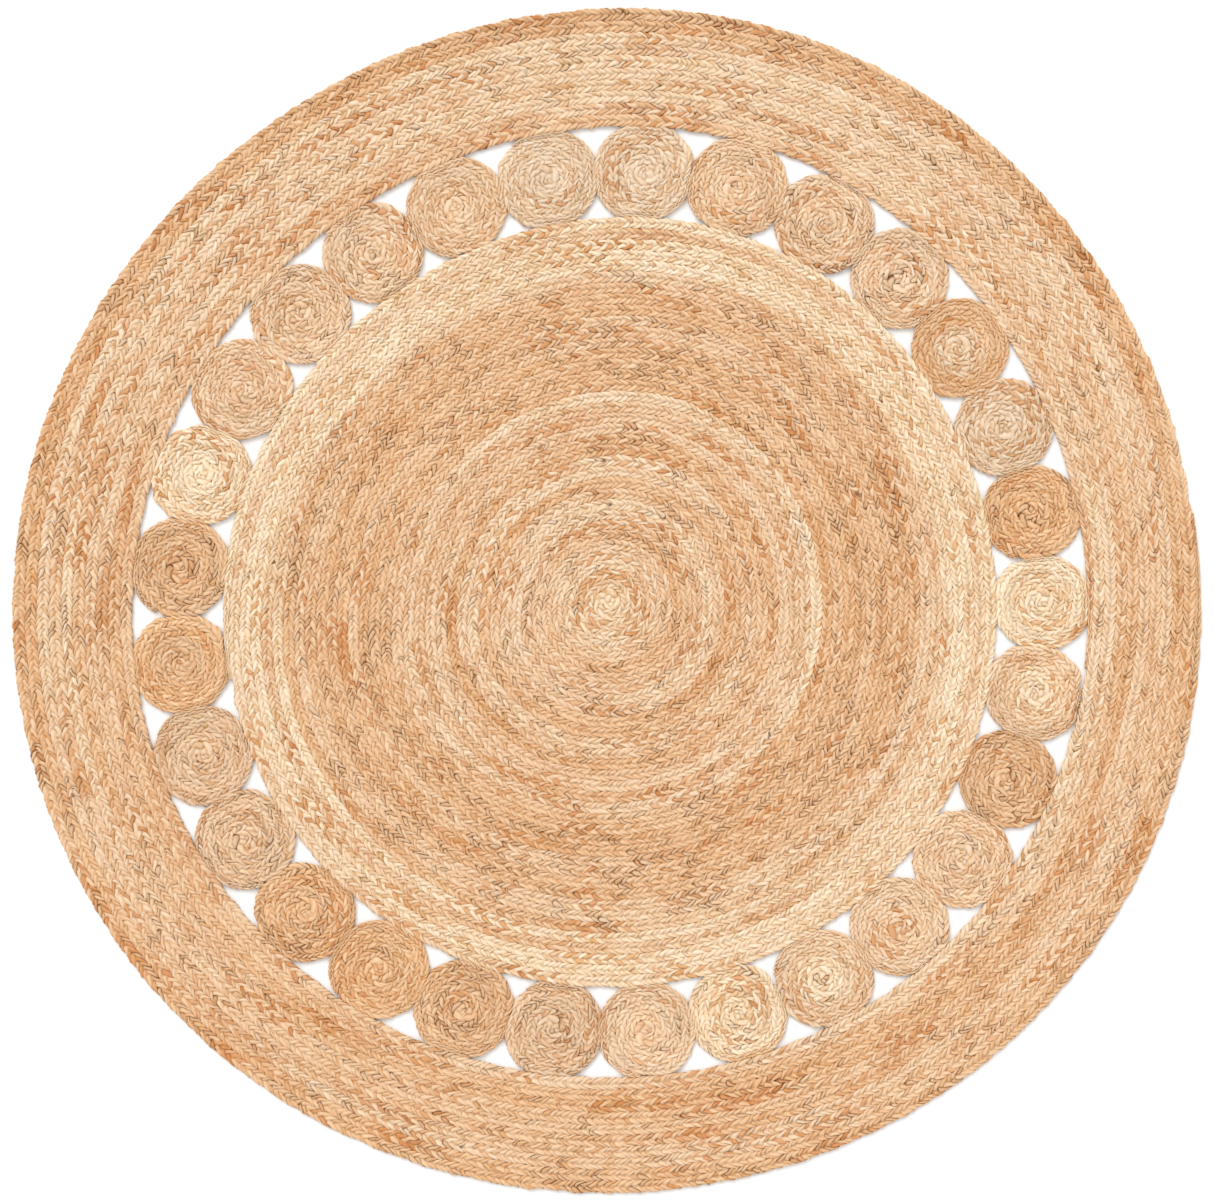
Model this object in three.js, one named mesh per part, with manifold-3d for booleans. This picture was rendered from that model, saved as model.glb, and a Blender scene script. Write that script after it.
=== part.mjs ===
// Round rug of braided jute: a coiled centre, a ring of small coiled rosettes and a wide coiled
// band round them, laid flat and sewn edge to edge with short lashings of thread.
// Millimetres, +Z up. The origin is the middle of the rug, on the surface that it lies on.
import * as THREE from "three";
import { mergeVertices } from "three/addons/utils/BufferGeometryUtils.js";
import Module from "manifold-3d";

// Driving dimensions.
const RUG_DIAMETER = 1829;
const BAND_WIDTH = 179; // ten turns of braid
const ROSETTE_COUNT = 29;
const NEIGHBOUR_PRESS = 5; // how far a rosette is pushed flat where it meets the next one
const RING_PRESS = 6.5; // and where it meets the centre and the band
const BRAID_THICKNESS = 9;
const EDGE_ROUND = 3; // the braid's rounded edge
const SEAM_GAP = 0.3; // left between two sewn pieces
const THREAD_DIAMETER = 1.5;
const THREAD_CLEARANCE = 0.3; // round the thread where it passes through the braid
const STITCH_REACH = 4.5; // from the seam to the far side of a lashing
const STITCH_INSET = 0.45; // below the braid's face, so that nobody treads on the thread

// The rug is laid by hand, so its circles run a few millimetres in and out.
const WAVES = [
  { lobes: 2, size: 4.6, crest: 35 },
  { lobes: 3, size: 5.0, crest: -43.7 },
  { lobes: 4, size: 1.9, crest: -25.5 },
];
const CENTRE_SHIFT = { size: 5, towards: -30 }; // the centre sits a little off the band's middle

// Nor are the rosettes evenly spaced: they have drifted round by a degree or two, in these waves.
const RING_TURN = 0.6;
const DRIFTS = [
  { lobes: 1, size: 1.4, crest: -114 },
  { lobes: 2, size: 0.43, crest: -23.5 },
];

// How finely the outlines are faceted.
const CIRCLE_STEPS_PER_ROSETTE = 4;
const ROSETTE_STEPS = 30;
const THREAD_SIDES = 5;
const THREAD_STEPS = 8;

// Sizes that follow from the driving dimensions. Neighbouring rosettes meet on a line from the
// rug's middle, half a pitch from each centre, and the last rosette closes the ring.
const HALF_PITCH = Math.PI / ROSETTE_COUNT;
const RUG_RADIUS = RUG_DIAMETER / 2;
const BAND_INNER_RADIUS = RUG_RADIUS - BAND_WIDTH;
const RING_RADIUS =
  (BAND_INNER_RADIUS - NEIGHBOUR_PRESS + RING_PRESS) / (1 + Math.sin(HALF_PITCH));
const ROSETTE_RADIUS = RING_RADIUS * Math.sin(HALF_PITCH) + NEIGHBOUR_PRESS;
const CENTRE_RADIUS = RING_RADIUS - ROSETTE_RADIUS + RING_PRESS;
const STITCH_RISE = BRAID_THICKNESS / 2 - THREAD_DIAMETER / 2 - STITCH_INSET;

// The jute of each rosette, anticlockwise from the one at +X.
const JUTE = {
  natural: 0xe0b98f,
  pale: 0xe8cba6,
  golden: 0xd9a772,
  brown: 0xcb9663,
  grey: 0xd6b38e,
};
const ROSETTE_JUTE = [
  "pale", "golden", "grey", "golden", "natural", "natural", "natural", "grey", "grey", "natural",
  "natural", "natural", "natural", "pale", "brown", "golden", "grey", "grey", "golden", "golden",
  "brown", "grey", "natural", "pale", "pale", "natural", "natural", "brown", "natural",
];
const THREAD_COLOUR = 0xc9a06c;

const wasm = await Module();
wasm.setup();

const radians = THREE.MathUtils.degToRad;

function sumOf(waves, angle) {
  let sum = 0;
  for (const { lobes, size, crest } of waves) {
    sum += size * Math.cos(lobes * (angle - radians(crest)));
  }
  return sum;
}

// A direction from the rug's middle, given as on an evenly laid one, where the rug has it.
function drifted(evenAngle) {
  return evenAngle + radians(RING_TURN + sumOf(DRIFTS, evenAngle));
}

// A point of the rug, given as on a perfectly round one, where the hand-laid rug has it.
function handLaid(radius, evenAngle) {
  const angle = drifted(evenAngle);
  const settled = Math.min(1, radius / CENTRE_RADIUS);
  const shift = CENTRE_SHIFT.size * Math.min(1, (RUG_RADIUS - radius) / BAND_WIDTH);
  const towards = radians(CENTRE_SHIFT.towards);
  const laid = radius + sumOf(WAVES, angle) * settled;
  return new THREE.Vector2(
    laid * Math.cos(angle) + shift * Math.cos(towards),
    laid * Math.sin(angle) + shift * Math.sin(towards),
  );
}

function circleOutline(radius) {
  const steps = ROSETTE_COUNT * CIRCLE_STEPS_PER_ROSETTE;
  const points = [];
  for (let i = 0; i < steps; i++) {
    points.push(handLaid(radius, (i * 2 * Math.PI) / steps));
  }
  return points;
}

// How far a rosette's edge is from its centre: round, but flat where it is pressed against the
// centre, the band and its two neighbours. Direction 0 points away from the rug's middle.
function rosetteEdge(direction) {
  const outward = Math.cos(direction);
  const sideways = Math.abs(Math.sin(direction));
  const towardsNeighbour = sideways * Math.cos(HALF_PITCH) - outward * Math.sin(HALF_PITCH);
  const toNeighbour = RING_RADIUS * Math.sin(HALF_PITCH) - SEAM_GAP / 2;
  const reach = [ROSETTE_RADIUS];
  if (towardsNeighbour > 0) reach.push(toNeighbour / towardsNeighbour);
  reach.push(toCircle(BAND_INNER_RADIUS - 2 * SEAM_GAP, outward, 1));
  reach.push(toCircle(CENTRE_RADIUS + SEAM_GAP, outward, -1));
  return Math.min(...reach);
}

// From a rosette's centre to a circle round the rug's middle, outwards (side 1) or inwards (-1).
function toCircle(radius, outward, side) {
  const middle = -RING_RADIUS * outward;
  const inside = middle * middle - RING_RADIUS * RING_RADIUS + radius * radius;
  const distance = inside < 0 ? Infinity : middle + side * Math.sqrt(inside);
  return distance > 0 ? distance : Infinity;
}

function rosetteOutline(angle) {
  const centre = handLaid(RING_RADIUS, angle);
  const points = [];
  for (let i = 0; i < ROSETTE_STEPS; i++) {
    const direction = (i * 2 * Math.PI) / ROSETTE_STEPS;
    const edge = rosetteEdge(direction);
    const x = RING_RADIUS + edge * Math.cos(direction);
    const y = edge * Math.sin(direction);
    const point = handLaid(Math.hypot(x, y), angle + Math.atan2(y, x));
    points.push(point.sub(centre));
  }
  return points;
}

// A flat slab of braid with rounded edges, its underside on z = 0.
function braidedSlab(outline, opening) {
  const shape = new THREE.Shape(outline);
  if (opening) shape.holes.push(new THREE.Path(opening));
  const slab = new THREE.ExtrudeGeometry(shape, {
    depth: BRAID_THICKNESS - 2 * EDGE_ROUND,
    bevelThickness: EDGE_ROUND,
    bevelSize: EDGE_ROUND,
    bevelOffset: -EDGE_ROUND,
    bevelSegments: 1,
  });
  return slab.translate(0, 0, EDGE_ROUND);
}

// One turn of thread, standing on edge across the seam, which runs along X here.
function threadLoop(diameter) {
  const loop = new THREE.TorusGeometry(STITCH_REACH, diameter / 2, THREAD_SIDES, THREAD_STEPS);
  const place = loop.getAttribute("position");
  for (let i = 0; i < place.count; i++) {
    const turn = Math.atan2(place.getY(i), place.getX(i));
    place.setY(i, place.getY(i) + (STITCH_RISE - STITCH_REACH) * Math.sin(turn));
  }
  loop.rotateX(Math.PI / 2);
  loop.rotateZ(Math.PI / 2);
  return loop;
}

// Where the lashing between two rosettes stands, in the rug's frame.
function lashingPlace(angle) {
  const at = handLaid(RING_RADIUS * Math.cos(HALF_PITCH), angle);
  const upright = new THREE.Vector3(0, 0, 1);
  const turned = new THREE.Quaternion().setFromAxisAngle(upright, drifted(angle));
  const position = new THREE.Vector3(at.x, at.y, BRAID_THICKNESS / 2);
  return new THREE.Matrix4().compose(position, turned, new THREE.Vector3(1, 1, 1));
}

function solidOf(geometry) {
  const bare = geometry.clone().deleteAttribute("normal").deleteAttribute("uv");
  const merged = mergeVertices(bare, 1e-4);
  return new wasm.Manifold(
    new wasm.Mesh({
      numProp: 3,
      vertProperties: merged.getAttribute("position").array,
      triVerts: new Uint32Array(merged.index.array),
    }),
  );
}

function geometryOf(solid) {
  const { vertProperties, triVerts } = solid.getMesh();
  const geometry = new THREE.BufferGeometry();
  geometry.setAttribute("position", new THREE.BufferAttribute(vertProperties, 3));
  geometry.setIndex(new THREE.BufferAttribute(triVerts, 1));
  const flat = geometry.toNonIndexed();
  flat.computeVertexNormals();
  return flat;
}

// A rosette with the two channels that its lashings pass through.
function rosetteGeometry(angle, centre) {
  let solid = solidOf(braidedSlab(rosetteOutline(angle)));
  for (const side of [-1, 1]) {
    const channel = threadLoop(THREAD_DIAMETER + 2 * THREAD_CLEARANCE);
    channel.applyMatrix4(lashingPlace(angle + side * HALF_PITCH));
    channel.translate(-centre.x, -centre.y, 0);
    solid = solid.subtract(solidOf(channel));
  }
  return geometryOf(solid);
}

function piece(name, geometry, colour) {
  const material = new THREE.MeshStandardMaterial({ color: colour, roughness: 0.95, metalness: 0 });
  const mesh = new THREE.Mesh(geometry, material);
  mesh.name = name;
  return mesh;
}

function coiledCentre() {
  return piece("centre_coil", braidedSlab(circleOutline(CENTRE_RADIUS)), JUTE.natural);
}

function outerBand() {
  const slab = braidedSlab(circleOutline(RUG_RADIUS), circleOutline(BAND_INNER_RADIUS));
  return piece("outer_band", slab, JUTE.golden);
}

function rosette(index) {
  const angle = 2 * index * HALF_PITCH;
  const centre = handLaid(RING_RADIUS, angle);
  const colour = JUTE[ROSETTE_JUTE[index % ROSETTE_JUTE.length]];
  const mesh = piece(numbered("rosette", index), rosetteGeometry(angle, centre), colour);
  mesh.position.set(centre.x, centre.y, 0);
  return mesh;
}

function lashing(index) {
  const mesh = piece(numbered("lashing", index), threadLoop(THREAD_DIAMETER), THREAD_COLOUR);
  mesh.applyMatrix4(lashingPlace((2 * index + 1) * HALF_PITCH));
  return mesh;
}

function numbered(name, index) {
  return `${name}_${String(index + 1).padStart(2, "0")}`;
}

function rosetteRing() {
  const ring = new THREE.Group();
  for (let i = 0; i < ROSETTE_COUNT; i++) {
    ring.add(rosette(i));
    ring.add(lashing(i));
  }
  return ring;
}

const rug = new THREE.Group();
rug.add(coiledCentre());
rug.add(rosetteRing());
rug.add(outerBand());

export default rug;
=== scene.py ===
"""A round rug of plaited jute: a coiled centre, a ring of small coiled rosettes and a wide coiled
band, sewn together edge to edge. Metres, +Z up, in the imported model's frame.

Each coil is one long plait laid along a path that fills its packed slab. A plait is made of
lengths, as the maker splices on new jute when a hank runs out, and each length is a piece.
"""

import math

import bmesh
import bpy
import numpy as np
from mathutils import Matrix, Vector


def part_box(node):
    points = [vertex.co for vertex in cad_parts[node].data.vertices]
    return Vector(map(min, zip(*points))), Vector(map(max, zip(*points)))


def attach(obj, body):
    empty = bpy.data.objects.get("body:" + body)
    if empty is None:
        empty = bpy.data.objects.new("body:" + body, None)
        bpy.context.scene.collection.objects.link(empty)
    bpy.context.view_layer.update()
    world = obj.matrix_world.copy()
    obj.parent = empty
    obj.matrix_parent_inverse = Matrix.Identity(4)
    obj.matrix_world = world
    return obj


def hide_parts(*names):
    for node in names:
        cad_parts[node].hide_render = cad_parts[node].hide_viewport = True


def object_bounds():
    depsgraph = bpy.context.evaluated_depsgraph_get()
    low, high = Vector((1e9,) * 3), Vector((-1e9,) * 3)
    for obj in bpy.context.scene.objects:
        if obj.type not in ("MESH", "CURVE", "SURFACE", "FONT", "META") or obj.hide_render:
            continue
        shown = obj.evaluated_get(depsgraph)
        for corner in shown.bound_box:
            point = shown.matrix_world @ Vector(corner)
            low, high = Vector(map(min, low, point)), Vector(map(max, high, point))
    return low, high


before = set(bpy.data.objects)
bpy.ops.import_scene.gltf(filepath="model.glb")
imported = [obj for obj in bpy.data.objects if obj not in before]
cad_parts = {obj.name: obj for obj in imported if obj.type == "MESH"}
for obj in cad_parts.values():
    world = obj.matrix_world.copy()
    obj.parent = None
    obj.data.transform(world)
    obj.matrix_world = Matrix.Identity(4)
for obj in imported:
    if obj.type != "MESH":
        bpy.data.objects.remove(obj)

cad_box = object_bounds()

# The plait, in metres: a flat three-strand braid whose strands show as two columns of petals.
PETAL_LENGTH = 0.0104  # along the plait from one petal to the next of the same column
CROSSING_LEAN = 1.05  # how far a petal runs on for each metre across, where it crosses the middle
EDGE_LEAN = 0.45  # how much further it has run on at the edge, in half widths of the plait
CENTRE_TURNS = 35
BAND_TURNS = 10
ROSETTE_TURNS = 4
CORE = 0.55  # the tucked-in start of a coil, in widths of the plait
UNEVENNESS = 0.0006  # how far one petal stands above or below the next
WANDER = 0.0085  # how loosely the petals lie: the most that one may stray sideways is half of this
TANGLE = 1.0  # how far one petal may be pulled along against the next, in petals
SQUARED = 6.0  # over how many petals a plait's square ends take up its lean
SLACK = 1.6  # how far the pull of the maker's hand shifts the petals along, in petals
THREAD_RADIUS = 0.00065

SLACK_WAVES = 0.16  # of slack, in one petal's length
TANGLE_WAVES = 0.9  # of tangle, in one petal's length
WANDER_WAVES = 70.0  # of wander, in a metre
WANDER_UP = 0.45  # how far petals stray up and down, for each metre sideways

PETAL_ROWS = 4  # rows of points along one petal
CREASE_WIDTH = 0.14  # from the bottom of a crease to the petal's crown, in petals
CREASE_DEPTH = 0.27  # in thicknesses
UNDER_POINTS = 3  # of the plait's outline, on its underside
TILT = 0.05  # how far the high end of a petal is raised, in thicknesses
WEAVE = 0.2  # how far each petal passes the plait's middle, in half widths
FURROW_WIDTH = 0.94  # of the plait between two petals, in its own widths
SWELL = 0.17  # how much wider than that it is at a petal, in its own widths
WELD = 0.002  # points of the straight row that are closer than this become one
FOLD_REACH = 2 * (CROSSING_LEAN + EDGE_LEAN)  # how far the underside's middle has run on


# Materials -----------------------------------------------------------------------------------


def linear(hex_colour):
    """An sRGB hex colour as linear RGBA."""
    value = [int(hex_colour[i : i + 2], 16) / 255 for i in (1, 3, 5)]
    return [c / 12.92 if c <= 0.04045 else ((c + 0.055) / 1.055) ** 2.4 for c in value] + [1.0]


def add(tree, kind, inputs=None, **settings):
    """Adds a node to a tree, with its settings and, for each input, a value or a socket."""
    node = tree.nodes.new(kind)
    for name, value in settings.items():
        setattr(node, name, value)
    for key, value in (inputs or {}).items():
        if isinstance(value, bpy.types.NodeSocket):
            tree.links.new(value, node.inputs[key])
        else:
            node.inputs[key].default_value = value
    return node


def new_material(name, roughness, specular=0.5):
    """A material with its shader, and that shader, ready for its colour."""
    material = bpy.data.materials.new(name)
    material.use_nodes = True
    tree = material.node_tree
    tree.nodes.clear()
    shader = add(tree, "ShaderNodeBsdfPrincipled", {"Roughness": roughness, "Specular IOR Level": specular})
    add(tree, "ShaderNodeOutputMaterial", {"Surface": shader.outputs[0]})
    return material, tree, shader


def plaited_jute():
    """Untwisted jute, plaited by hand: matt straw to honey fibres that run along each petal. One
    strand in three may run paler or browner for a stretch. Creases are painted a deeper honey as
    shade, and the petals' crowns paler as a painted highlight."""
    material, tree, shader = new_material("plaited_jute", 0.88, 0.15)
    plait = add(tree, "ShaderNodeAttribute", attribute_name="plait").outputs["Vector"]
    hank = add(tree, "ShaderNodeAttribute", attribute_name="jute").outputs
    dome = add(tree, "ShaderNodeAttribute", attribute_name="dome").outputs["Fac"]
    petal_at, strand_at = petal_places(tree, plait)
    # Bundles of fibres, some 2.5 mm by 5 mm and finer, as single fibres are too fine to show. Their noise is
    # both the bump's height and part of the tone, so it is partly the fibres' own paler and browner tone and
    # partly a painted highlight on the raised bundles.
    bundle_at = add(
        tree, "ShaderNodeVectorMath", {0: plait, 1: (4.2, 1.6, 3.7)}, operation="MULTIPLY"
    ).outputs[0]
    bundle = add(
        tree,
        "ShaderNodeTexNoise",
        {"Vector": bundle_at, "Scale": 1.0, "Detail": 4.0, "Roughness": 0.65},
        noise_dimensions="3D",
    ).outputs[0]
    chance = add(tree, "ShaderNodeTexWhiteNoise", {"Vector": petal_at}, noise_dimensions="3D").outputs
    stretch = add(
        tree, "ShaderNodeTexNoise", {"Vector": strand_at, "Scale": 0.014, "Detail": 3.0, "Roughness": 0.6}
    ).outputs[0]
    # The straw's tone: 0 is bark brown and 1 is bleached. It also holds painted light: shade in the creases
    # and a highlight on the crowns.
    tone = -0.685  # brings the sum of the rest to between 0 and 1
    # The dome term paints the creases darker as shade and the crowns paler as a highlight.
    for value, weight in ((bundle, 1.1), (stretch, 0.75), (chance[0], 0.26), (dome, 0.20)):
        tone = add(tree, "ShaderNodeMath", {0: value, 1: weight, 2: tone}, operation="MULTIPLY_ADD")
        tone = tone.outputs[0]
    straw = add(tree, "ShaderNodeValToRGB", {0: tone})
    set_ramp(
        straw,
        [(0.02, "#8A5528"), (0.26, "#CC9C6C"), (0.48, "#E1C19F"), (0.70, "#E6CAAC"), (1.0, "#EEDDC4")],
    )
    hued = add(
        tree,
        "ShaderNodeMix",
        {"Factor": 1.0, "A": straw.outputs[0], "B": hank["Color"]},
        data_type="RGBA",
        blend_type="MULTIPLY",
    ).outputs["Result"]
    golden = brown_stretches(tree, strand_at, hued)
    flecked = bark_flecks(tree, golden, strand_at, chance[1], dome, hank["Alpha"])
    tree.links.new(flecked, shader.inputs["Base Color"])
    # The same bundle noise that paints raised bundles paler as a highlight also raises them in the bump.
    bump = add(tree, "ShaderNodeBump", {"Height": bundle, "Strength": 0.8, "Distance": 0.0008})
    tree.links.new(bump.outputs[0], shader.inputs["Normal"])
    return material


def petal_places(tree, plait):
    """Where a point's petal is in a space of petals, and where its strand is in a space of
    strands, which runs along the strand in petals. The petals of three strands come in turn."""
    along, across, coil = add(tree, "ShaderNodeSeparateXYZ", {0: plait}).outputs
    left = add(tree, "ShaderNodeMath", {0: across, 1: 0.0}, operation="LESS_THAN").outputs[0]
    shifted = add(tree, "ShaderNodeMath", {0: left, 1: 0.5, 2: along}, operation="MULTIPLY_ADD")
    cell = add(tree, "ShaderNodeMath", {0: shifted.outputs[0]}, operation="FLOOR")
    doubled = add(tree, "ShaderNodeMath", {0: cell.outputs[0], 1: 2.0}, operation="MULTIPLY")
    petal = add(tree, "ShaderNodeMath", {0: doubled.outputs[0], 1: left}, operation="SUBTRACT").outputs[0]
    strand = add(tree, "ShaderNodeMath", {0: petal, 1: 3.0}, operation="FLOORED_MODULO").outputs[0]
    # Strands and coils are set far apart in their spaces, so that no two look alike.
    lane = add(tree, "ShaderNodeMath", {0: strand, 1: 171.3}, operation="MULTIPLY").outputs[0]
    block = add(tree, "ShaderNodeMath", {0: coil, 1: 93.7}, operation="MULTIPLY").outputs[0]
    petal_at = add(tree, "ShaderNodeCombineXYZ", {0: petal, 1: block})
    strand_at = add(tree, "ShaderNodeCombineXYZ", {0: petal, 1: lane, 2: block})
    return petal_at.outputs[0], strand_at.outputs[0]


def brown_stretches(tree, strand_at, colour):
    """Darkens a strand to honey brown for a hand's length or two here and there."""
    patch = add(
        tree, "ShaderNodeTexNoise", {"Vector": strand_at, "Scale": 0.03, "Detail": 2.0, "Distortion": 0.3}
    ).outputs[0]
    amount = add(
        tree, "ShaderNodeMapRange", {"Value": patch, "From Min": 0.56, "From Max": 0.68, "To Max": 0.75}
    ).outputs[0]
    browned = add(
        tree,
        "ShaderNodeMix",
        {"Factor": amount, "A": colour, "B": linear("#E2B27C")},
        data_type="RGBA",
        blend_type="MULTIPLY",
    )
    return browned.outputs["Result"]


def bark_flecks(tree, colour, strand_at, chance, dome, flecked):
    """Leaves dark shreds of bark in the jute's creases, more where the hank was badly cleaned."""
    dirt = add(tree, "ShaderNodeTexNoise", {"Vector": strand_at, "Scale": 0.11, "Detail": 1.0}).outputs[0]
    share = add(
        tree, "ShaderNodeMapRange", {"Value": dirt, "From Min": 0.58, "From Max": 0.72, "To Min": 0.008}
    ).outputs[0]
    share = add(tree, "ShaderNodeMath", {0: share, 1: flecked}, operation="MULTIPLY").outputs[0]
    barky = add(tree, "ShaderNodeMath", {0: chance, 1: share}, operation="LESS_THAN").outputs[0]
    shred = add(
        tree,
        "ShaderNodeMapRange",
        {"Value": dome, "From Min": 0.15, "From Max": 0.75, "To Min": 1.0, "To Max": 0.15},
    ).outputs[0]
    amount = add(tree, "ShaderNodeMath", {0: barky, 1: shred}, operation="MULTIPLY").outputs[0]
    return add(
        tree, "ShaderNodeMix", {"Factor": amount, "A": colour, "B": linear("#6B3D1A")}, data_type="RGBA"
    ).outputs["Result"]


def set_ramp(node, stops):
    """Gives a colour ramp its stops, as places and sRGB hex colours."""
    ramp = node.color_ramp
    while len(ramp.elements) < len(stops):
        ramp.elements.new(0.5)
    for element, (place, colour) in zip(ramp.elements, stops):
        element.position = place
        element.color = linear(colour)


# Jute's own colours. Hanks differ, and so a rug's plaits run from paler to browner.
JUTES = {
    "pale": "#E9CAA6",
    "natural": "#E2BC97",
    "golden": "#DEAF82",
    "brown": "#DAAE84",
    "grey": "#DFBE9C",
    "tan": "#DCB590",
}
BY_BROWNNESS = ("pale", "natural", "golden", "brown")

# Each rosette's jute, anticlockwise from +X: its rim's after a slash, where that differs from
# its middle's, and a star for each degree of bark flecks.
ROSETTE_JUTES = """
    pale golden* grey grey/golden natural* natural** natural* grey grey natural natural**
    natural* natural pale brown** brown/golden tan* tan** golden** golden* brown*** tan**
    natural* pale* pale/natural* natural* natural* brown** pale/natural
""".split()


def hue(name):
    """A jute's colour as a share of plain jute's, which the material multiplies its own by."""
    return np.array(linear(JUTES[name])[:3]) / np.array(linear(JUTES["natural"])[:3])


def hank_colours(brownness, flecks):
    """The colour of each point of a path, and in its fourth value how much bark it has."""
    hues = np.array([hue(name) for name in BY_BROWNNESS])
    places = np.linspace(0, 1, len(hues))
    colours = [np.interp(brownness, places, channel) for channel in hues.T]
    return np.column_stack([*colours, np.broadcast_to(flecks, brownness.shape)])


def ragged(length, size, seed):
    """A value for each place along a plait, which wanders between -1 and 1 from hank to hank."""
    chance = np.random.default_rng(seed)
    knots = chance.uniform(-1, 1, int(length[-1] / size) + 3)
    return np.interp(length / size, np.arange(len(knots)), knots)


# The plait -----------------------------------------------------------------------------------


def plait_section():
    """The plait's outline across, anticlockwise from its right edge: places across in half widths
    and heights in thicknesses. Its face has two rounded ridges, one for each column of petals."""
    face_across = np.array([1, 0.93, 0.74, 0.48, 0.22])
    face_height = np.array([0.66, 0.84, 0.97, 1.0, 0.92])
    under_across = np.array([0.7])
    under_height = np.array([0.06])
    across = [face_across, [0], -face_across[::-1], -under_across, [0], under_across[::-1]]
    height = [face_height, [0.76], face_height[::-1], under_height, [0.07], under_height[::-1]]
    return np.concatenate(across), np.concatenate(height)


def plait_cell():
    """One petal's length of plait, straight, as an open sleeve: x counts petals, y is across in
    half widths and z is up in thicknesses. Rows follow the petals, so they lean as those do,
    forwards on the face from the middle to the edges and on round to the underside's middle."""
    across, height = plait_section()
    ring = len(across)
    face = np.arange(ring) < ring - UNDER_POINTS
    # Rows crowd beside the creases. One column's creases are half a petal after the other's.
    even = np.arange(PETAL_ROWS + 1) / PETAL_ROWS
    early, late = even.copy(), even.copy()
    early[1], early[3] = CREASE_WIDTH, 1 - CREASE_WIDTH
    late[1], late[3] = 0.5 - CREASE_WIDTH, 0.5 + CREASE_WIDTH
    rows = [late if y < 0 else early if y > 0 else even for y in across]
    along = np.stack(rows, axis=1)
    across, height = np.broadcast_to(across, along.shape), np.broadcast_to(height, along.shape)
    petal = np.mod(along + 0.5 * (across < 0), 1)
    # The dome is the petal's crown height. The jute material also uses it to paint shade in the creases and a
    # highlight on the crowns.
    dome = np.sin(math.pi * petal) ** 0.55
    middle = across == 0
    dome = np.where(middle, 0.35 + 0.2 * np.cos(4 * math.pi * along), dome)
    # Where the two columns meet, each petal in turn dives under the next one of the other column.
    weave = WEAVE * np.cos(2 * math.pi * along) * np.clip(1 - np.abs(across) * 1.6, 0, 1)
    # Petals swell past the plait's edge between those of the next turn.
    y = across * (FURROW_WIDTH + SWELL * dome * np.abs(across) ** 4) + weave
    # Each petal lies a little tilted: it is higher where it comes over than where it goes under.
    tilt = TILT * np.sin(2 * math.pi * petal)
    # A crease is deepest at its ends, where three petals meet over a small hole.
    depth = CREASE_DEPTH * (1 - dome) * (0.75 + 0.7 * np.abs(2 * np.abs(across) - 1) ** 3)
    z = height - np.where(face, 1, -1) * (depth - tilt * ~middle)
    # A strand crosses the middle steeply and runs along the edge before it turns under.
    lean = CROSSING_LEAN * np.abs(y) + EDGE_LEAN * np.abs(across) ** 5
    lean = np.where(face, lean, FOLD_REACH - lean)
    return along, across, np.where(face, dome, dome * 0.5), y, z, lean


def cell_object():
    """The plait cell as a hidden mesh, with what the laying needs stored on its points."""
    along, across, dome, y, z, lean = plait_cell()
    rows, ring = along.shape
    points = np.stack([along, y, z], axis=-1).reshape(-1, 3)
    faces = [
        (i * ring + j, i * ring + (j + 1) % ring, (i + 1) * ring + (j + 1) % ring, (i + 1) * ring + j)
        for i in range(rows - 1)
        for j in range(ring)
    ]
    mesh = bpy.data.meshes.new("plait_cell")
    mesh.from_pydata(points.tolist(), [], faces)
    store(mesh, "plait", "FLOAT_VECTOR", np.stack([along, across, across * 0], axis=-1).reshape(-1, 3))
    store(mesh, "dome", "FLOAT", dome.ravel())
    store(mesh, "lean", "FLOAT", lean.ravel())
    store(mesh, "step_round", "INT", np.broadcast_to(np.arange(ring), along.shape).ravel())
    cell = bpy.data.objects.new("plait_cell", mesh)
    bpy.context.scene.collection.objects.link(cell)
    cell.hide_render = True
    return cell


def store(mesh, name, kind, values):
    """Stores values on a mesh's points."""
    attribute = mesh.attributes.new(name, kind, "POINT")
    key = {"FLOAT_VECTOR": "vector", "FLOAT_COLOR": "color"}.get(kind, "value")
    attribute.data.foreach_set(key, np.ascontiguousarray(values).ravel())


def laying_tree():
    """Geometry Nodes that repeat the plait cell and lay the row of cells along a path."""
    tree = bpy.data.node_groups.new("lay_plait_on_path", "GeometryNodeTree")
    tree.is_modifier = True
    face = tree.interface
    face.new_socket("Path", in_out="INPUT", socket_type="NodeSocketGeometry")
    face.new_socket("Cell", in_out="INPUT", socket_type="NodeSocketObject")
    for name in ("First Petal", "Petals", "Petals in Coil", "Coil", "Seed"):
        face.new_socket(name, in_out="INPUT", socket_type="NodeSocketInt")
    sizes = ("Petal Length", "Lean in Petals", "Slack in Petals", "Tangle in Petals")
    for name in sizes + ("Thickness", "Unevenness", "Wander"):
        face.new_socket(name, in_out="INPUT", socket_type="NodeSocketFloat")
    face.new_socket("Material", in_out="INPUT", socket_type="NodeSocketMaterial")
    face.new_socket("Plait", in_out="OUTPUT", socket_type="NodeSocketGeometry")
    given = add(tree, "NodeGroupInput").outputs
    row = cell_row(tree, given)
    laid = laid_on_path(tree, given, row)
    smooth = add(tree, "GeometryNodeSetShadeSmooth", {"Geometry": laid}).outputs[0]
    real = add(tree, "GeometryNodeRealizeInstances", {0: smooth}).outputs[0]
    done = add(tree, "GeometryNodeSetMaterial", {"Geometry": real, "Material": given["Material"]})
    add(tree, "NodeGroupOutput", {0: done.outputs[0]})
    return tree


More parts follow.
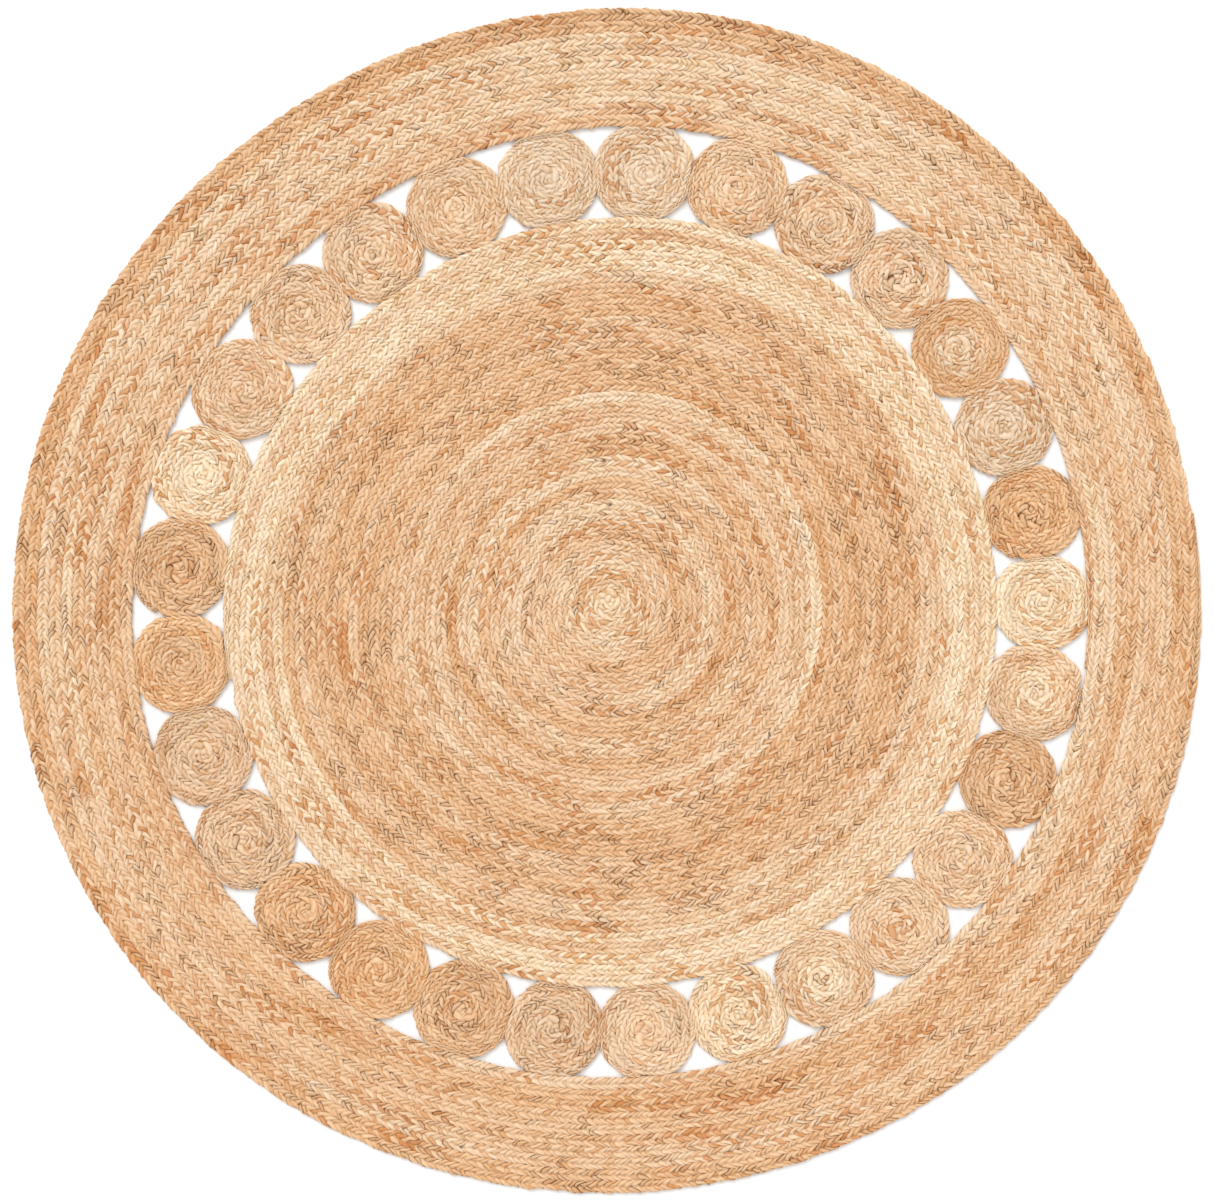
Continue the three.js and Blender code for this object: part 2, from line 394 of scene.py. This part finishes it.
def cell_row(tree, given):
    """A straight row of welded cells. Its points know their place along the plait in petals."""
    line = add(
        tree, "GeometryNodeMeshLine", {"Count": given["Petals"], "Offset": (1.0, 0.0, 0.0)}
    ).outputs[0]
    cell = add(tree, "GeometryNodeObjectInfo", {"Object": given["Cell"]}).outputs["Geometry"]
    copies = add(tree, "GeometryNodeInstanceOnPoints", {"Points": line, "Instance": cell}).outputs[0]
    index = add(tree, "GeometryNodeInputIndex").outputs[0]
    number = add(tree, "ShaderNodeMath", {0: index, 1: given["First Petal"]}, operation="ADD")
    numbered = add(
        tree,
        "GeometryNodeStoreNamedAttribute",
        {"Geometry": copies, "Name": "petal", "Value": number.outputs[0]},
        domain="INSTANCE",
        data_type="FLOAT",
    ).outputs[0]
    real = add(tree, "GeometryNodeRealizeInstances", {0: numbered}).outputs[0]
    petal = add(tree, "GeometryNodeInputNamedAttribute", {"Name": "petal"}, data_type="FLOAT")
    plait = add(tree, "GeometryNodeInputNamedAttribute", {"Name": "plait"}, data_type="FLOAT_VECTOR")
    offset = add(tree, "ShaderNodeCombineXYZ", {0: petal.outputs[0], 2: given["Coil"]}).outputs[0]
    place = add(tree, "ShaderNodeVectorMath", {0: plait.outputs[0], 1: offset}, operation="ADD")
    placed = add(
        tree,
        "GeometryNodeStoreNamedAttribute",
        {"Geometry": real, "Name": "plait", "Value": place.outputs[0]},
        domain="POINT",
        data_type="FLOAT_VECTOR",
    ).outputs[0]
    return add(tree, "GeometryNodeMergeByDistance", {"Geometry": placed, "Distance": WELD}).outputs[0]


def laid_on_path(tree, given, row):
    """The straight row, bent along the path: each point goes as far along it as its place and
    its lean say, then across it by the path's own half width there, and up."""
    plait = add(tree, "GeometryNodeInputNamedAttribute", {"Name": "plait"}, data_type="FLOAT_VECTOR")
    place = add(tree, "ShaderNodeSeparateXYZ", {0: plait.outputs[0]}).outputs
    petals = petals_along(tree, given, place)
    length = add(tree, "ShaderNodeMath", {0: petals, 1: given["Petal Length"]}, operation="MULTIPLY")
    path = add(tree, "GeometryNodeMeshToCurve", {0: given["Path"]}).outputs[0]
    side = on_path(tree, path, length.outputs[0], "side", "FLOAT_VECTOR")
    jute = on_path(tree, path, length.outputs[0], "jute", "FLOAT_COLOR")
    local = add(tree, "ShaderNodeSeparateXYZ", {0: add(tree, "GeometryNodeInputPosition").outputs[0]})
    outward = add(
        tree, "ShaderNodeVectorMath", {0: side["Value"], "Scale": local.outputs[1]}, operation="SCALE"
    ).outputs[0]
    height = uneven_height(tree, given, place[0], local.outputs[2])
    up = add(tree, "ShaderNodeCombineXYZ", {2: height}).outputs[0]
    laid = add(tree, "ShaderNodeVectorMath", {0: side["Position"], 1: outward}, operation="ADD").outputs[0]
    laid = add(tree, "ShaderNodeVectorMath", {0: laid, 1: up}, operation="ADD").outputs[0]
    laid = strayed(tree, given, laid, side["Value"])
    tinted = add(
        tree,
        "GeometryNodeStoreNamedAttribute",
        {"Geometry": row, "Name": "jute", "Value": jute["Value"]},
        domain="POINT",
        data_type="FLOAT_COLOR",
    ).outputs[0]
    return add(tree, "GeometryNodeSetPosition", {"Geometry": tinted, "Position": laid}).outputs[0]


def petals_along(tree, given, place):
    """How far along the path each point goes, in petals."""
    along, across, coil = place
    lean = add(tree, "GeometryNodeInputNamedAttribute", {"Name": "lean"}, data_type="FLOAT").outputs[0]
    # A plait starts and ends square, where its strands are bound together.
    left = add(tree, "ShaderNodeMath", {0: given["Petals in Coil"], 1: along}, operation="SUBTRACT")
    to_end = add(tree, "ShaderNodeMath", {0: along, 1: left.outputs[0]}, operation="MINIMUM")
    loose = add(tree, "ShaderNodeMath", {0: to_end.outputs[0], 1: 1 / SQUARED}, operation="MULTIPLY")
    loose.use_clamp = True
    loose = loose.outputs[0]
    lean = add(tree, "ShaderNodeMath", {0: lean, 1: loose}, operation="MULTIPLY").outputs[0]
    petals = add(
        tree, "ShaderNodeMath", {0: lean, 1: given["Lean in Petals"], 2: along}, operation="MULTIPLY_ADD"
    ).outputs[0]
    # The maker's hand pulls some stretches tighter than others.
    slack = add(
        tree,
        "ShaderNodeTexNoise",
        {"W": petals, "Scale": SLACK_WAVES, "Detail": 1.0},
        noise_dimensions="1D",
    ).outputs[0]
    slack = add(tree, "ShaderNodeMath", {0: slack, 1: loose}, operation="MULTIPLY").outputs[0]
    petals = add(
        tree, "ShaderNodeMath", {0: slack, 1: given["Slack in Petals"], 2: petals}, operation="MULTIPLY_ADD"
    ).outputs[0]
    # Nor do the petals of either column come quite evenly.
    column = add(tree, "ShaderNodeMath", {0: across, 1: 3.0}, operation="MULTIPLY").outputs[0]
    column = add(tree, "ShaderNodeClamp", {"Value": column, "Min": -1.0, "Max": 1.0}).outputs[0]
    spot = add(tree, "ShaderNodeCombineXYZ", {0: petals, 1: column, 2: coil}).outputs[0]
    tangle = add(
        tree, "ShaderNodeTexNoise", {"Vector": spot, "Scale": TANGLE_WAVES, "Detail": 0.0}
    ).outputs[0]
    tangle = add(tree, "ShaderNodeMath", {0: tangle, 1: loose}, operation="MULTIPLY").outputs[0]
    return add(
        tree, "ShaderNodeMath", {0: tangle, 1: given["Tangle in Petals"], 2: petals}, operation="MULTIPLY_ADD"
    ).outputs[0]


def on_path(tree, path, length, name, kind):
    """The path's position, and its own attribute of this name, this far along it."""
    attribute = add(tree, "GeometryNodeInputNamedAttribute", {"Name": name}, data_type=kind)
    return add(
        tree,
        "GeometryNodeSampleCurve",
        {"Curves": path, "Value": attribute.outputs[0], "Length": length},
        mode="LENGTH",
        data_type=kind,
        use_all_curves=True,
    ).outputs


def uneven_height(tree, given, along, height):
    """A point's height above the floor, where one petal stands a little above the next."""
    dome = add(tree, "GeometryNodeInputNamedAttribute", {"Name": "dome"}, data_type="FLOAT").outputs[0]
    petal = add(tree, "ShaderNodeMath", {0: along, 1: 2.0}, operation="MULTIPLY").outputs[0]
    petal = add(tree, "ShaderNodeMath", {0: petal}, operation="FLOOR").outputs[0]
    lowest = add(tree, "ShaderNodeMath", {0: given["Unevenness"], 1: -1.0}, operation="MULTIPLY")
    jolt = add(
        tree,
        "FunctionNodeRandomValue",
        {2: lowest.outputs[0], 3: given["Unevenness"], "ID": petal, "Seed": given["Seed"]},
        data_type="FLOAT",
    ).outputs[1]
    height = add(tree, "ShaderNodeMath", {0: height, 1: given["Thickness"]}, operation="MULTIPLY").outputs[0]
    return add(tree, "ShaderNodeMath", {0: jolt, 1: dome, 2: height}, operation="MULTIPLY_ADD").outputs[0]


def strayed(tree, given, place, side):
    """Moves petals off their even places, less where the plait tapers, and less up and down than
    sideways, as they are sewn tight. Nothing goes below the floor."""
    chance = add(
        tree, "ShaderNodeTexNoise", {"Vector": place, "Scale": WANDER_WAVES, "Detail": 1.0}
    ).outputs["Color"]
    centred = add(tree, "ShaderNodeVectorMath", {0: chance, 1: (0.5, 0.5, 0.5)}, operation="SUBTRACT")
    half = add(tree, "ShaderNodeVectorMath", {0: side}, operation="LENGTH").outputs[1]
    usual = add(
        tree, "ShaderNodeMath", {0: given["Lean in Petals"], 1: given["Petal Length"]}, operation="MULTIPLY"
    ).outputs[0]
    fullness = add(tree, "ShaderNodeMath", {0: half, 1: usual}, operation="DIVIDE")
    fullness.use_clamp = True
    reach = add(
        tree, "ShaderNodeMath", {0: fullness.outputs[0], 1: given["Wander"]}, operation="MULTIPLY"
    ).outputs[0]
    flatter = add(
        tree, "ShaderNodeVectorMath", {0: centred.outputs[0], 1: (1.0, 1.0, WANDER_UP)}, operation="MULTIPLY"
    ).outputs[0]
    wander = add(tree, "ShaderNodeVectorMath", {0: flatter, "Scale": reach}, operation="SCALE").outputs[0]
    moved = add(tree, "ShaderNodeVectorMath", {0: place, 1: wander}, operation="ADD").outputs[0]
    far = 9.0  # beyond the rug, so that only the height is limited
    return add(
        tree, "ShaderNodeVectorMath", {0: moved, 1: (-far, -far, 0.0)}, operation="MAXIMUM"
    ).outputs[0]


# Coils ---------------------------------------------------------------------------------------

STEP_OUT = 0.12  # the part of a turn over which an outer turn steps out to the next
FIRM_TURNS = 8  # from this turn on a coil runs true between its steps
PATH_POINTS = 720  # in one turn
GIRTH = 0.050  # round a plait, roughly
STRIP_MARGIN = 0.03  # left above and below each strip of a plait's map, in strips
TAIL = 0.005  # how far the start of the centre's or a rosette's plait reaches back
TAIL_POINTS = 12
NARROWEST = 0.22  # a coil's end tapers to this, in widths of the plait
CENTRE_START = 205  # where the coil starts, in degrees
BAND_START = 22
ROSETTE_START = 137.5  # how far round each rosette's start is from the last one's, in degrees
CENTRE_LENGTHS = 14  # of jute, spliced end to end
BAND_LENGTHS = 4


def wall_points(node):
    """The points of a packed slab's upright wall, seen from above."""
    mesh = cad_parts[node].data
    points = np.array([v.co for v in mesh.vertices])
    heights, counts = np.unique(points[:, 2].round(5), return_counts=True)
    walls = (heights > heights[0]) & (heights < heights[-1])
    level = heights[walls][counts[walls].argmax()]
    return points[np.abs(points[:, 2] - level) < 2e-5, :2]


def outline(points, centre):
    """A wall's distance from a centre, as a function of the angle."""
    away = points - centre
    angle = np.mod(np.arctan2(away[:, 1], away[:, 0]), 2 * math.pi)
    order = np.argsort(angle)
    radius = np.hypot(away[:, 0], away[:, 1])
    return lambda at: np.interp(np.mod(at, 2 * math.pi), angle[order], radius[order], period=2 * math.pi)


def step_out(turns, firm_turns):
    """How far out a coil has wound, in plait widths, where one that wound steadily would be at
    turns. The outer turns run true, and step out over the last part of each turn."""
    whole = np.floor(turns)
    part = turns - whole
    late = np.clip((part - 1 + STEP_OUT) / STEP_OUT, 0, 1)
    late = late * late * (3 - 2 * late)
    firm = np.clip(whole / firm_turns, 0, 1) if firm_turns else 1.0
    return whole + part + (late - part) * firm


def coil_edges(turns, core, firm_turns):
    """The angles along a coil, in turns, and how far out the plait's two edges are there, from 0
    at the coil's inside to 1 at its outside. Its ends taper away beside the turns they meet."""
    at = np.arange(0, turns + 1, 1 / PATH_POINTS)
    outer = np.minimum((core + step_out(at, firm_turns)) / (core + turns), 1)
    inner = np.minimum((core + step_out(at - 1, firm_turns)) / (core + turns), 1)
    # A coil's first turn reaches its very middle, until it meets its own start.
    inner = np.where(at < 1, np.interp(at, [0.8, 1], [0, core]) / (core + turns), inner)
    wide = outer - inner > NARROWEST / (core + turns)
    return at[wide], inner[wide], outer[wide]


def coil_path(name, edges, start, place, tint, waviness, seed, tail=0):
    """The path of a coil's plait as a mesh line, which knows the plait's half width at each
    point. place turns an angle and a share of the way out into a point, and tail is how far the
    plait's start reaches back, past the coil's middle."""
    at, inner, outer = edges
    angle = 2 * math.pi * at + start
    near = place(angle, wavy(angle, inner, waviness, seed))
    far = place(angle, wavy(angle, outer, waviness, seed))
    if tail:
        back = np.linspace(tail, 0, TAIL_POINTS, endpoint=False)[:, None]
        back = back * [math.sin(start), -math.cos(start)]
        near, far = (np.vstack([edge[0] + back, edge]) for edge in (near, far))
        inner, outer = (np.concatenate([edge[:1].repeat(TAIL_POINTS), edge]) for edge in (inner, outer))
    middle = (near + far) / 2
    points = np.column_stack([middle, np.zeros(len(middle))])
    mesh = bpy.data.meshes.new(name)
    mesh.from_pydata(points.tolist(), [(i, i + 1) for i in range(len(points) - 1)], [])
    side = np.column_stack([(far - near) / 2, np.zeros(len(middle))])
    store(mesh, "side", "FLOAT_VECTOR", side)
    run = np.concatenate([[0], np.linalg.norm(np.diff(middle, axis=0), axis=1).cumsum()])
    store(mesh, "jute", "FLOAT_COLOR", tint((inner + outer) / 2, run))
    length = run[-1]
    width = 2 * np.median(np.linalg.norm(side, axis=1))
    return mesh, length, width


def wavy(angle, share, size, seed):
    """Rows sewn by hand run a little in and out. The coil's two outlines stay where they are."""
    chance = np.random.default_rng(seed)
    moved = np.zeros_like(share)
    for lobes in range(2, 12):
        ripple = chance.integers(1, 5) * 2 * math.pi * share + chance.uniform(0, 2 * math.pi)
        moved += chance.uniform(0.4, 1) / lobes**0.6 * np.sin(lobes * angle + ripple)
    return share + size * moved * 4 * share * (1 - share)


def lay_lengths(name, path, lengths, coil, tools):
    """Lays a coil's plait in a number of lengths, each of which meets the next. Gives each
    length's object, and the width and length that it would have when pressed flat."""
    mesh, length, width = path
    lean = width / 2 / PETAL_LENGTH
    petals = round(length / PETAL_LENGTH)
    petal_length = length / petals
    ends = [round(i * petals / lengths) for i in range(lengths + 1)]
    made = []
    for i, (first, last) in enumerate(zip(ends, ends[1:])):
        piece = bpy.data.objects.new("laying", mesh)
        bpy.context.scene.collection.objects.link(piece)
        settings = {
            "Cell": tools["cell"],
            "First Petal": first,
            "Petals": last - first,
            "Petals in Coil": petals,
            "Coil": coil,
            "Seed": coil,
            "Petal Length": petal_length,
            "Lean in Petals": lean,
            "Thickness": tools["thickness"],
            "Unevenness": UNEVENNESS,
            "Wander": WANDER,
            "Slack in Petals": SLACK,
            "Tangle in Petals": TANGLE,
            "Material": tools["jute"],
        }
        label = name if lengths == 1 else f"{name}_{i + 1:02d}"
        half_girth = width + tools["thickness"]  # a plait is too thick for its width to be its flat size
        flat = (half_girth, (last - first) * petal_length)
        made.append((finished(piece, tools["laying"], settings, label), flat))
    return made


def finished(piece, tree, settings, name):
    """Runs a tree on an object and keeps its result as a plain mesh."""
    modifier = piece.modifiers.new("nodes", "NODES")
    modifier.node_group = tree
    sockets = {s.name: s.identifier for s in tree.interface.items_tree if s.in_out == "INPUT"}
    for key, value in settings.items():
        modifier[sockets[key]] = value
    piece.data = piece.data.copy()
    bpy.context.view_layer.update()
    graph = bpy.context.evaluated_depsgraph_get()
    mesh = bpy.data.meshes.new_from_object(
        piece.evaluated_get(graph), preserve_all_data_layers=True, depsgraph=graph
    )
    piece.modifiers.clear()
    piece.data = mesh
    piece.name = name
    mesh.name = name
    return piece


def close_ends(mesh):
    """Fills the two open ends of a length of plait."""
    work = bmesh.new()
    work.from_mesh(mesh)
    rim = [edge for edge in work.edges if edge.is_boundary]
    bmesh.ops.holes_fill(work, edges=rim, sides=0)
    bmesh.ops.recalc_face_normals(work, faces=work.faces)
    work.to_mesh(mesh)
    work.free()


def lay_out_flat(mesh):
    """Gives a length of plait its map: the plait unrolled and cut into strips that fill a square,
    one above the next, with its two closed ends side by side in a strip above them."""
    plait = np.empty(len(mesh.vertices) * 3)
    mesh.attributes["plait"].data.foreach_get("vector", plait)
    step = np.empty(len(mesh.vertices), int)
    mesh.attributes["step_round"].data.foreach_get("value", step)
    vertex = np.empty(len(mesh.loops), int)
    mesh.loops.foreach_get("vertex_index", vertex)
    corners = np.empty(len(mesh.polygons), int)
    mesh.polygons.foreach_get("loop_total", corners)
    face = np.repeat(np.arange(len(corners)), corners)
    along = plait[0::3] - plait[0::3].min()
    petals = along.max()
    strips = round(math.sqrt(petals * PETAL_LENGTH / GIRTH))
    reach = math.ceil(petals / strips)
    middle = np.bincount(face, along[vertex]) / corners
    strip = np.floor(middle / reach)[face]
    # The last face round the plait joins its last step to its first.
    ring = step.max() + 1
    highest = np.zeros(len(corners), int)
    np.maximum.at(highest, face, step[vertex])
    closing = (highest[face] == ring - 1) & (step[vertex] == 0)
    round_it = np.where(closing, ring, step[vertex]) / ring
    u = along[vertex] / reach - strip
    v = strip + STRIP_MARGIN + round_it * (1 - 2 * STRIP_MARGIN)
    ends = corners[face] > 4
    turn = 2 * math.pi * step[vertex] / ring
    u = np.where(ends, np.where(middle[face] < petals / 2, 0.25, 0.75) + 0.2 * np.cos(turn), u)
    v = np.where(ends, strips + 0.5 + 0.4 * np.sin(turn), v)
    flat = mesh.uv_layers.new(name="OFBake")
    flat.data.foreach_set("uv", np.column_stack([u, v / (strips + 1)]).ravel())


def polar(centre):
    """Turns angles and distances from a centre into points."""
    return lambda angle, radius: np.column_stack(
        [centre[0] + radius * np.cos(angle), centre[1] + radius * np.sin(angle)]
    )


def centre_tint(share, run):
    """The centre is browner towards its rim, where it has a pale border of five turns."""
    places = [0.0, 0.10, 0.17, 0.40, 0.44, 0.55, 0.60, 0.80, 0.855, 0.862]
    brownness = np.interp(share, places, [0.3, 0.35, 0.5, 0.5, 0.4, 0.4, 0.6, 0.62, 0.5, 0.12])
    brownness += 0.30 * ragged(run, 1.4, 11) + 0.12 * ragged(run, 0.25, 12)
    flecks = np.interp(share, places, [0.4, 0.5, 1.3, 1.0, 0.5, 0.6, 1.9, 1.9, 1.2, 0.15])
    return hank_colours(brownness, flecks)


def band_tint(share, run):
    """The band is browner in its last turn or two."""
    brownness = np.interp(share, [0, 0.72, 0.8, 1], [0.35, 0.38, 0.62, 0.85])
    brownness += 0.30 * ragged(run, 1.6, 21) + 0.12 * ragged(run, 0.25, 22)
    return hank_colours(brownness, np.interp(share, [0, 0.7, 1], [0.7, 0.9, 1.8]))


def rosette_tint(number, share, run):
    """Each rosette has a jute of its own, or two."""
    named = ROSETTE_JUTES[(number - 1) % len(ROSETTE_JUTES)]
    middle, _, rim = named.rstrip("*").partition("/")
    inner, outer = hue(middle), hue(rim or middle)
    mixed = np.interp(share, [0.48, 0.56], [0, 1])[:, None]
    shade = 1 + 0.06 * ragged(run, 0.07, 300 + number)[:, None]
    flecks = np.full((len(share), 1), 0.25 + 0.9 * named.count("*"))
    return np.hstack([(inner + (outer - inner) * mixed) * shade, flecks])


def coiled_centre(tools):
    """The rug's middle, one coil of plait."""
    wall = wall_points("centre_coil")
    centre = (wall.min(0) + wall.max(0)) / 2
    edge = outline(wall, centre)
    spot = polar(centre)
    path = coil_path(
        "centre_path",
        coil_edges(CENTRE_TURNS, CORE, FIRM_TURNS),
        math.radians(CENTRE_START),
        lambda angle, share: spot(angle, share * edge(angle)),
        centre_tint,
        waviness=0.0022,
        seed=1,
        tail=TAIL,
    )
    return lay_lengths("centre_plait", path, CENTRE_LENGTHS, coil=1, tools=tools)


def outer_band(tools):
    """The wide border, one coil of plait round the ring of rosettes."""
    wall = wall_points("outer_band")
    middle = (wall.min(0) + wall.max(0)) / 2
    radius = np.hypot(*(wall - middle).T)
    inside = radius < (radius.min() + radius.max()) / 2
    near, far = outline(wall[inside], middle), outline(wall[~inside], middle)
    spot = polar(middle)
    path = coil_path(
        "band_path",
        coil_edges(BAND_TURNS, 0, 0),
        math.radians(BAND_START),
        lambda angle, share: spot(angle, near(angle) + share * (far(angle) - near(angle))),
        band_tint,
        waviness=0.006,
        seed=2,
    )
    return lay_lengths("band_plait", path, BAND_LENGTHS, coil=2, tools=tools)


def rosette(node, number, tools):
    """A small coil, round inside and flat outside where it is pressed against its neighbours."""
    wall = wall_points(node)
    centre = (wall.min(0) + wall.max(0)) / 2
    edge = outline(wall, centre)
    mean = edge(np.linspace(0, 2 * math.pi, 90)).mean()
    spot = polar(centre)
    path = coil_path(
        "rosette_path",
        coil_edges(ROSETTE_TURNS, CORE, FIRM_TURNS),
        math.radians(ROSETTE_START) * number,
        lambda angle, share: spot(angle, share * (mean + (edge(angle) - mean) * share**3)),
        lambda share, run: rosette_tint(number, share, run),
        waviness=0.004,
        seed=100 + number,
        tail=TAIL,
    )
    return lay_lengths(f"rosette_plait_{number:02d}", path, 1, coil=100 + number, tools=tools)


# Threads -------------------------------------------------------------------------------------

WRAPS = 3  # of each lashing
WRAP_PITCH = 0.0019
SEAM_PITCH = 2.2 * WRAP_PITCH  # between the stitches that hold a rosette to the centre or the band
STITCH_REACH = 0.0048  # across a seam, on either side of it
STITCH_RISE = 0.0028  # above and below the rug's mid height


def sewing_tree():
    """Geometry Nodes that set a loop of thread at each point, turned to cross its seam."""
    tree = bpy.data.node_groups.new("sew_loops_at_points", "GeometryNodeTree")
    tree.is_modifier = True
    face = tree.interface
    face.new_socket("Places", in_out="INPUT", socket_type="NodeSocketGeometry")
    for name in ("Reach", "Rise", "Thread Radius"):
        face.new_socket(name, in_out="INPUT", socket_type="NodeSocketFloat")
    face.new_socket("Material", in_out="INPUT", socket_type="NodeSocketMaterial")
    face.new_socket("Loops", in_out="OUTPUT", socket_type="NodeSocketGeometry")
    given = add(tree, "NodeGroupInput").outputs
    ring = add(tree, "GeometryNodeCurvePrimitiveCircle", {"Resolution": 14, "Radius": 1.0}).outputs[0]
    size = add(tree, "ShaderNodeCombineXYZ", {0: given["Reach"], 1: given["Rise"], 2: 1.0}).outputs[0]
    oval = add(tree, "GeometryNodeTransform", {"Geometry": ring, "Scale": size}).outputs[0]
    section = add(
        tree, "GeometryNodeCurvePrimitiveCircle", {"Resolution": 6, "Radius": given["Thread Radius"]}
    ).outputs[0]
    loop = add(tree, "GeometryNodeCurveToMesh", {"Curve": oval, "Profile Curve": section}).outputs[0]
    turn = add(tree, "GeometryNodeInputNamedAttribute", {"Name": "turn"}, data_type="FLOAT").outputs[0]
    upright = add(tree, "ShaderNodeCombineXYZ", {0: math.pi / 2, 2: turn}).outputs[0]
    rotation = add(tree, "FunctionNodeEulerToRotation", {0: upright}).outputs[0]
    loops = add(
        tree,
        "GeometryNodeInstanceOnPoints",
        {"Points": given["Places"], "Instance": loop, "Rotation": rotation},
    ).outputs[0]
    real = add(tree, "GeometryNodeRealizeInstances", {0: loops}).outputs[0]
    done = add(tree, "GeometryNodeSetMaterial", {"Geometry": real, "Material": given["Material"]})
    add(tree, "NodeGroupOutput", {0: done.outputs[0]})
    return tree


def jute_thread():
    """Two-ply jute sewing thread, a little browner than the plaits it holds."""
    material, tree, shader = new_material("jute_thread", 0.85, 0.2)
    place = add(tree, "ShaderNodeTexCoord").outputs["Object"]
    fibres = add(tree, "ShaderNodeTexNoise", {"Vector": place, "Scale": 900.0, "Detail": 2.0})
    colour = add(tree, "ShaderNodeValToRGB", {0: fibres.outputs[0]})
    set_ramp(colour, [(0.3, "#C39A66"), (0.7, "#E2C49A")])
    tree.links.new(colour.outputs[0], shader.inputs["Base Color"])
    return material


def sewn(name, places, turns, tools):
    """Loops of thread at some places, each turned to cross the seam there."""
    mesh = bpy.data.meshes.new(name)
    mesh.from_pydata([tuple(place) for place in places], [], [])
    store(mesh, "turn", "FLOAT", np.array(turns))
    piece = bpy.data.objects.new(name, mesh)
    bpy.context.scene.collection.objects.link(piece)
    settings = {
        "Reach": STITCH_REACH,
        "Rise": STITCH_RISE,
        "Thread Radius": THREAD_RADIUS,
        "Material": tools["thread"],
    }
    return finished(piece, tools["sewing"], settings, name)


def middle_of(node):
    """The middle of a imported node's box."""
    low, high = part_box(node)
    return np.array((low + high) / 2)


def lashings(tools):
    """Wraps of thread that lash each rosette to the next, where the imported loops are."""
    places, turns = [], []
    for node in sorted(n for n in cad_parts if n.startswith("lashing")):
        middle = middle_of(node)
        out = middle[:2] / np.hypot(*middle[:2])
        for wrap in range(WRAPS):
            shift = (wrap - (WRAPS - 1) / 2) * WRAP_PITCH
            places.append([*(middle[:2] + shift * out), middle[2]])
            turns.append(math.atan2(out[1], out[0]) + math.pi / 2)
    return sewn("lashing_threads", places, turns, tools)


def seam_stitches(tools):
    """Stitches that hold each rosette to the centre and to the band."""
    centre_wall, band_wall = wall_points("centre_coil"), wall_points("outer_band")
    middle = (band_wall.min(0) + band_wall.max(0)) / 2
    radius = np.hypot(*(band_wall - middle).T)
    inside = band_wall[radius < (radius.min() + radius.max()) / 2]
    edges = [outline(centre_wall, middle), outline(inside, middle)]
    places, turns = [], []
    for node in sorted(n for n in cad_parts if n.startswith("rosette")):
        away = middle_of(node)[:2] - middle
        angle = math.atan2(away[1], away[0])
        for edge in edges:
            for wrap in range(-1, 2):
                at = angle + wrap * SEAM_PITCH / np.hypot(*away)
                spot = polar(middle)(np.array([at]), edge(np.array([at])))[0]
                places.append([*spot, middle_of(node)[2]])
                turns.append(at)
    return sewn("seam_threads", places, turns, tools)


# Scene ---------------------------------------------------------------------------------------


def place_camera():
    """Looks straight down on the rug, which nearly fills the view."""
    low, high = cad_box
    height = 4.0
    margin = 1.021  # the view's width over the rug's
    camera = bpy.data.objects.new("camera", bpy.data.cameras.new("camera"))
    camera.data.sensor_width = 36
    camera.data.lens = 36 * height / ((high.x - low.x) * margin)
    camera.location = ((low.x + high.x) / 2, (low.y + high.y) / 2, high.z + height)
    bpy.context.scene.collection.objects.link(camera)
    bpy.context.scene.camera = camera


def plain_floor():
    """A pale matt floor."""
    material, tree, shader = new_material("matt_white_paper", 0.9)
    shader.inputs["Base Color"].default_value = linear("#F4F4F4")
    mesh = bpy.data.meshes.new("floor")
    reach = 40.0
    corners = [(-reach, -reach, 0), (reach, -reach, 0), (reach, reach, 0), (-reach, reach, 0)]
    mesh.from_pydata(corners, [], [(0, 1, 2, 3)])
    mesh.materials.append(material)
    floor = bpy.data.objects.new("floor", mesh)
    floor.location.z = -0.0005
    bpy.context.scene.collection.objects.link(floor)


def studio_light():
    """Even white light from all round and a large soft lamp overhead."""
    world = bpy.data.worlds.new("studio")
    world.use_nodes = True
    background = world.node_tree.nodes["Background"]
    background.inputs["Color"].default_value = (1.0, 1.0, 1.0, 1.0)
    background.inputs["Strength"].default_value = 0.95
    bpy.context.scene.world = world
    lamp = bpy.data.objects.new("soft_key_light", bpy.data.lights.new("soft_key_light", "SUN"))
    lamp.data.angle = math.radians(35)
    lamp.data.energy = 1.45
    lamp.rotation_euler = Vector((0.35, -0.75, -1.0)).to_track_quat("-Z", "Y").to_euler()
    bpy.context.scene.collection.objects.link(lamp)
    bpy.context.scene.view_settings.view_transform = "Standard"


def main():
    place_camera()
    plain_floor()
    studio_light()
    low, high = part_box("centre_coil")
    tools = {
        "cell": cell_object(),
        "laying": laying_tree(),
        "jute": plaited_jute(),
        "sewing": sewing_tree(),
        "thread": jute_thread(),
        "thickness": high.z - low.z,
    }
    laid = {"centre_coil": coiled_centre(tools), "outer_band": outer_band(tools)}
    for node in sorted(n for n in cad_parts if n.startswith("rosette")):
        laid[node] = rosette(node, int(node.split("_")[1]), tools)
    bpy.data.objects.remove(tools["cell"])
    for node, pieces in laid.items():
        for piece, flat in pieces:
            close_ends(piece.data)
            lay_out_flat(piece.data)
            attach(piece, "root")
            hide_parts(node)
    lashed = lashings(tools)
    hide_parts(*(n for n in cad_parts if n.startswith("lashing")))
    for piece in (lashed, seam_stitches(tools)):
        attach(piece, "root")


main()
